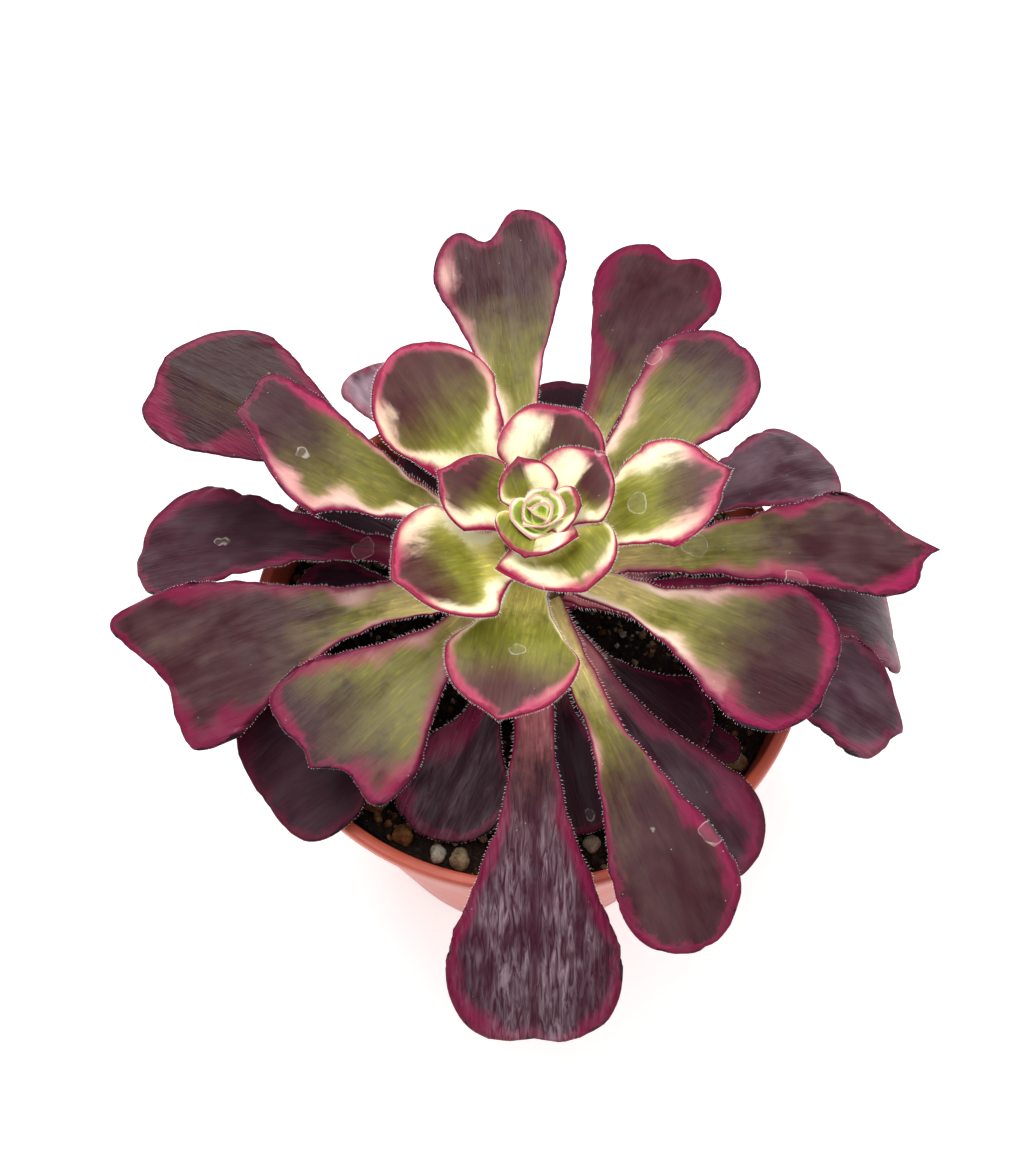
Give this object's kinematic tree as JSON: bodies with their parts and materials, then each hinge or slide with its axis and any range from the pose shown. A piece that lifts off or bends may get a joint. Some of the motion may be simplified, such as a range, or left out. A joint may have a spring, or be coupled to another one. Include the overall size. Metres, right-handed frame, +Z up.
{
  "type": "potted aeonium",
  "caption": "Rosette succulent with one short stem and spoon-shaped leaves, in gritty soil in a plain round tapered plastic nursery pot.",
  "frame": {"origin": "centre of the flat disc under the pot's base, on the surface the pot stands on", "axes": "+Z up along the pot's axis; the stem stands on the axis and leans very slightly towards +X; +Y points to the side with the two longest notched leaves; leaves run round the stem in a spiral that turns anticlockwise seen from above from the youngest to the oldest"},
  "size_m": [0.2044, 0.1951, 0.1658],
  "materials": {
    "pot": "thin moulded terracotta-coloured plastic, satin",
    "soil": "damp dark gritty potting mix, rough",
    "grit": "dusty porous pumice and small pebbles, rough",
    "stem": "grey-brown woody bark with ringed leaf scars, rough",
    "bud": "living leaf, satin, yellow-green with pale rims",
    "inner_leaf": "living leaf, satin, olive with a cream band and a crimson margin",
    "middle_leaf": "living leaf, satin, olive to purple-brown with a pink margin",
    "outer_leaf": "living leaf, satin, deep maroon with a magenta margin"
  },
  "bodies": {
    "root": {"pot": "pot", "soil": "soil", "stem": "stem", "crown": "bud", "leaf_03": "inner_leaf", "leaf_04": "inner_leaf", "leaf_05": "inner_leaf", "leaf_06": "inner_leaf", "leaf_07": "inner_leaf", "leaf_08": "inner_leaf", "leaf_09": "inner_leaf", "leaf_10": "inner_leaf", "leaf_11": "middle_leaf", "leaf_12": "middle_leaf", "leaf_13": "middle_leaf", "leaf_14": "middle_leaf", "leaf_15": "middle_leaf", "leaf_16": "middle_leaf", "leaf_17": "middle_leaf", "leaf_18": "middle_leaf", "leaf_19": "middle_leaf", "leaf_20": "middle_leaf", "leaf_21": "outer_leaf", "leaf_22": "outer_leaf", "leaf_23": "outer_leaf", "leaf_24": "outer_leaf", "leaf_25": "outer_leaf", "leaf_26": "outer_leaf", "leaf_27": "outer_leaf", "leaf_28": "outer_leaf", "leaf_29": "outer_leaf", "leaf_30": "outer_leaf", "leaf_31": "outer_leaf", "leaf_32": "outer_leaf", "leaf_33": "outer_leaf", "leaf_34": "outer_leaf", "leaf_35": "outer_leaf", "leaf_36": "outer_leaf", "leaf_37": "outer_leaf", "leaf_39": "outer_leaf", "leaf_40": "outer_leaf", "leaf_42": "outer_leaf", "stone_01": "grit", "stone_02": "grit", "stone_03": "grit", "stone_04": "grit", "stone_05": "grit", "stone_06": "grit", "stone_07": "grit", "stone_08": "grit", "stone_09": "grit", "stone_10": "grit", "stone_11": "grit"}
  },
  "joints": []
}
